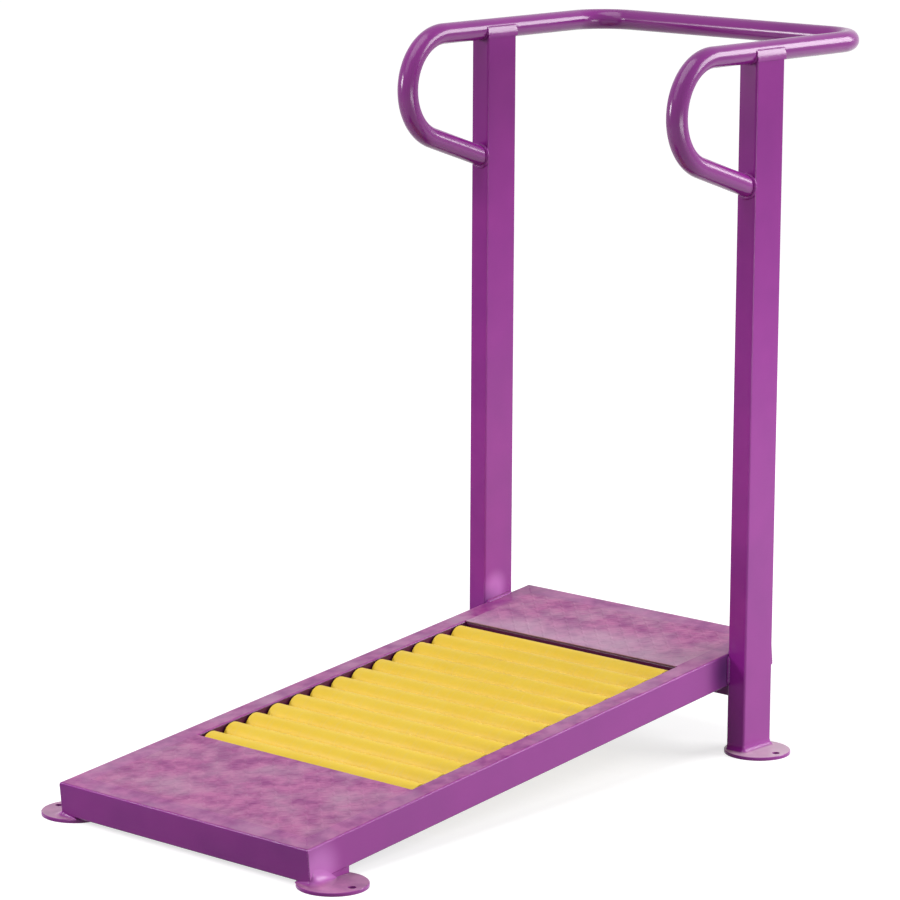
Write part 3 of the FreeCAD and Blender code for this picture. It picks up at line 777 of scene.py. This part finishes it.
def foot_seam(side):
    """Fillet round the bottom of a post, on its foot plate."""
    half = (POST_HIGH - POST_LOW)[:2] / 2
    outline = rounded_outline(*half, POST_CORNER)
    inner = np.clip(outline, POST_CORNER - half, half - POST_CORNER)
    outward = (outline - inner) / POST_CORNER
    flat = np.zeros((len(outline), 1))
    path = np.concatenate([outline + [side * POST_X, POST_Y], flat + FOOT_TOP], 1)
    # Near the disc's rim the fillet narrows, to end 1 mm inside it
    disc = (node_box("rear_feet")[1] - [HALF_FOOT, HALF_FOOT, 0]) * [side, 1, 1]
    from_middle = path[:, :2] - disc[:2]
    lean = np.einsum("ij,ij->i", from_middle, outward)
    square = np.einsum("ij,ij->i", from_middle, from_middle)
    room = np.sqrt(lean ** 2 + (HALF_FOOT - 1 * MM) ** 2 - square) - lean
    return cove_weld(path, np.concatenate([outward, flat], 1), FOOT_FILLET_TALL,
                     np.minimum(FOOT_FILLET_WIDE, room), closed=True)


def front_foot_seam(side):
    """Heavy fillet that ties a front corner of the frame to its foot plate, from side to front."""
    front_y = RAIL_START * DECK_ALONG[1] - RAIL_BOTTOM * DECK_ALONG[2]
    turn = arc(0, np.pi / 2, 9)
    bend, side_reach, front_reach = 6 * MM, 62 * MM, 34 * MM
    x = np.concatenate([np.full(8, HALF_WIDTH), HALF_WIDTH - bend + bend * np.cos(turn),
                        HALF_WIDTH - np.linspace(bend, front_reach, 7)[1:]])
    y = front_y + np.concatenate([np.linspace(side_reach, bend, 9)[:-1], bend - bend * np.sin(turn),
                                  np.zeros(6)])
    out_x = np.concatenate([np.ones(8), np.cos(turn), np.zeros(6)])
    out_y = np.concatenate([np.zeros(8), -np.sin(turn), -np.ones(6)])
    # It swells along the side, thins round the corner and runs out along the front
    size = np.concatenate([CORNER_FILLET * np.sin(arc(0.03, np.pi / 2, 8)),
                           np.linspace(CORNER_FILLET, 11 * MM, 9), np.linspace(10, 1, 6) * MM])
    path = np.stack([side * x, y, np.full_like(x, FOOT_TOP)], -1)
    return cove_weld(path, np.stack([side * out_x, out_y, 0 * x], -1), size, size)


def leg_seam(side):
    """Ring weld where the handrail's lower leg meets the post: a circle drawn out by the leg's slope."""
    run = POST_LOW[1] - (LOOP_FRONT + LOOP_RADIUS - LOOP_RADIUS * math.sin(LEG_ANGLE))
    middle_z = BAR_HEIGHT - LOOP_RADIUS - LOOP_RADIUS * math.cos(LEG_ANGLE) - run * math.tan(LEG_ANGLE)
    ring = circle(TUBE_RADIUS, SEAM_AROUND) * [1, 1 / math.cos(LEG_ANGLE)]
    path = np.stack([side * POST_X + ring[:, 0], np.full(SEAM_AROUND, POST_LOW[1]),
                     middle_z + ring[:, 1]], -1)
    return weld_bead(path, LEG_BEAD, closed=True, ripple=0.04)


def crossbar_seam(side):
    """Ring weld, ground low, where the crossbar meets a rear corner."""
    sunk = 1 * MM
    ring = circle(TUBE_RADIUS - sunk, SEAM_AROUND)
    path = np.stack([np.full(SEAM_AROUND, side * CROSS_HIGH[0]), CROSSBAR_Y + ring[:, 0],
                     BAR_HEIGHT + ring[:, 1]], -1)
    return weld_bead(path, CROSSBAR_BEAD, closed=True, ripple=0.05)


def saddle_seams(side):
    """Where the handrail lies between a post's cheeks: a bead on each lip and round each end of the seat."""
    top, lip_sunk = CAP_HIGH[2], 0.4 * MM
    lip_angle = math.asin((top - BAR_HEIGHT) / TUBE_RADIUS)
    ends = np.array([CAP_LOW[1], CAP_HIGH[1]])
    seams = []
    for way in (-1, 1):
        x = np.full(2, side * POST_X + way * TUBE_RADIUS * math.cos(lip_angle))
        seams.append(weld_bead(np.stack([x, ends, np.full(2, top - lip_sunk)], -1), LIP_BEAD))
    below = arc(np.pi - lip_angle, 2 * np.pi + lip_angle, 33)
    for y in ends:
        seat = np.stack([side * POST_X + TUBE_RADIUS * np.cos(below), np.full_like(below, y),
                         BAR_HEIGHT + TUBE_RADIUS * np.sin(below)], -1)
        seams.append(weld_bead(seat, SEAT_BEAD))
    return seams


def tie_seam(side):
    """Ring weld where the tie under the frame meets a post."""
    corner, sunk = 3 * MM, 0.5 * MM
    start, end, bottom, top = deck_span("rear_tie")
    outline = rounded_outline((end - start) / 2, (top - bottom) / 2, corner)
    path = on_deck(side * (HALF_WIDTH - sunk), (start + end) / 2 + outline[:, 0],
                   (bottom + top) / 2 + outline[:, 1])
    return weld_bead(path, TIE_BEAD, closed=True)


both = (-1, 1)
frame_seams = [mitre_seam(side, station, inward) for side in both
               for station, inward in ((RAIL_START, 1), (RAIL_END, -1))]
make_piece("frame_welds", frame_seams + plate_seams("front_plate") + plate_seams("rear_plate"),
           enamel)
make_piece("post_welds", [seam for side in both for seam in [*post_seams(side), foot_seam(side),
                                                             tie_seam(side)]], enamel)
make_piece("front_foot_welds", [front_foot_seam(side) for side in both], enamel)
make_piece("handrail_welds", [seam for side in both for seam in [leg_seam(side), crossbar_seam(side),
                                                                 *saddle_seams(side)]], enamel)


# Stage: pale floor, soft light and the camera

FLOOR_REACH = 60.0
# Distances on the floor between which it goes from lamp-lit to as bright as the surround
LAMP_LIT, FAR_OUT = 0.8, 3.0
FILL_STRENGTH = 0.08
# Soft lights: name, way from the object, distance, width and height in metres, and power in watts
SOFT_LIGHTS = (
    ("key_light", (0.62, 0.74, 0.42), 4.0, 2.4, 1.6, 118),
    ("side_light", (0.97, 0.0, -0.05), 3.5, 2.2, 0.8, 40),
    ("left_light", (-0.59, -0.76, 0.3), 3.2, 0.8, 0.8, 46),
    ("front_light", (-0.1, -0.68, 0.7), 4.0, 2.0, 2.0, 20),
    ("top_light", (0.0, -0.2, 1.0), 4.0, 3.0, 3.0, 86),
)


def looked_at(tree):
    """1 where a ray comes from the eye, straight, mirrored or through glass; 0 where it only lights."""
    ray = add_node(tree, "ShaderNodeLightPath")
    looked = add_node(tree, "ShaderNodeMath", {"operation": "MAXIMUM"},
                      {0: ray.outputs["Is Camera Ray"], 1: ray.outputs["Is Glossy Ray"]})
    through = add_node(tree, "ShaderNodeMath", {"operation": "MAXIMUM"},
                       {0: looked.outputs["Value"], 1: ray.outputs["Is Transmission Ray"]})
    return through.outputs["Value"]


def studio_floor():
    """Matt paper sweep: near white to the eye and in reflections, darkened softly by the object's shadow."""
    finish = bpy.data.materials.new("studio_floor")
    finish.use_nodes = True
    tree = finish.node_tree
    tree.nodes.remove(tree.nodes["Principled BSDF"])
    paper = add_node(tree, "ShaderNodeBsdfDiffuse", {"Color": ink("#7E7E7E")})
    bright = add_node(tree, "ShaderNodeBsdfDiffuse", {"Color": ink("#BCBCBC")})
    # The lamps reach only the middle of the sheet; further out it is drawn as bright as the surround
    away = add_node(tree, "ShaderNodeVectorMath", {"operation": "LENGTH"},
                    {0: add_node(tree, "ShaderNodeTexCoord").outputs["Object"]})
    strength = add_node(tree, "ShaderNodeMapRange",
                        {"From Min": LAMP_LIT, "From Max": FAR_OUT, "To Min": 0.72, "To Max": 1.0},
                        {"Value": away.outputs["Value"]})
    glow = add_node(tree, "ShaderNodeEmission", {"Color": ink("#FFFFFF")},
                    {"Strength": strength.outputs["Result"]})
    seen = add_node(tree, "ShaderNodeAddShader", {}, {0: bright.outputs["BSDF"], 1: glow.outputs["Emission"]})
    mixed = add_node(tree, "ShaderNodeMixShader", {},
                     {"Fac": looked_at(tree), 1: paper.outputs["BSDF"], 2: seen.outputs["Shader"]})
    tree.links.new(mixed.outputs["Shader"], tree.nodes["Material Output"].inputs["Surface"])
    return finish


def studio_world():
    """White surround: strength 1 to the eye and in reflections, and a weaker fill on matt surfaces."""
    world = bpy.data.worlds.new("studio_world")
    world.use_nodes = True
    tree = world.node_tree
    fill = tree.nodes["Background"]
    fill.inputs["Color"].default_value = ink("#FFFFFF")
    fill.inputs["Strength"].default_value = FILL_STRENGTH
    white = add_node(tree, "ShaderNodeBackground", {"Color": ink("#FFFFFF"), "Strength": 1.0})
    mixed = add_node(tree, "ShaderNodeMixShader", {},
                     {"Fac": looked_at(tree), 1: fill.outputs["Background"], 2: white.outputs["Background"]})
    tree.links.new(mixed.outputs["Shader"], tree.nodes["World Output"].inputs["Surface"])
    return world


def standing(right, up, back, place):
    """World matrix of a camera or light from its three directions and its place."""
    ways = np.stack([right, up, back], 1).tolist()
    return Matrix([[*row, shift] for row, shift in zip(ways, place.tolist())] + [[0, 0, 0, 1]])


def soft_box(name, way, distance, width, height, power):
    """Rectangular soft light that looks at the middle of the object from that way."""
    light = bpy.data.lights.new(name, "AREA")
    light.shape = "RECTANGLE"
    light.size, light.size_y = width, height
    light.energy = power
    back = np.array(way) / np.linalg.norm(way)
    right = np.cross(Z_AXIS if abs(back[2]) < 0.99 else Y_AXIS, back)
    right /= np.linalg.norm(right)
    holder = bpy.data.objects.new(name, light)
    holder.matrix_world = standing(right, np.cross(back, right), back, OBJECT_MIDDLE + distance * back)
    bpy.context.scene.collection.objects.link(holder)


floor_mesh = bpy.data.meshes.new("floor")
floor_corners = FLOOR_REACH * np.array([[-1, -1, 0], [1, -1, 0], [1, 1, 0], [-1, 1, 0]])
floor_mesh.from_pydata(floor_corners, [], [[0, 1, 2, 3]])
floor_mesh.materials.append(studio_floor())
floor = bpy.data.objects.new("floor", floor_mesh)
bpy.context.scene.collection.objects.link(floor)
bpy.context.scene.world = studio_world()
for light in SOFT_LIGHTS:
    soft_box(*light)

# Camera: where the photograph's edges put it; lens and frame in millimetres
CAMERA_PLACE = np.array([4.4585, -5.1288, 1.9504])
CAMERA_AZIMUTH, CAMERA_ELEVATION, CAMERA_ROLL = np.radians([41.33, 11.45, 0.29])
FOCAL_LENGTH, FRAME_WIDTH = 157.5, 36.0
back = np.array([math.sin(CAMERA_AZIMUTH) * math.cos(CAMERA_ELEVATION),
                 -math.cos(CAMERA_AZIMUTH) * math.cos(CAMERA_ELEVATION), math.sin(CAMERA_ELEVATION)])
level = np.array([math.cos(CAMERA_AZIMUTH), math.sin(CAMERA_AZIMUTH), 0])
right = math.cos(CAMERA_ROLL) * level + math.sin(CAMERA_ROLL) * np.cross(back, level)
lens = bpy.data.cameras.new("camera")
lens.lens, lens.sensor_width = FOCAL_LENGTH, FRAME_WIDTH
camera = bpy.data.objects.new("camera", lens)
camera.matrix_world = standing(right, np.cross(back, right), back, CAMERA_PLACE)
bpy.context.scene.collection.objects.link(camera)
bpy.context.scene.camera = camera
bpy.context.scene.view_settings.view_transform = "Standard"
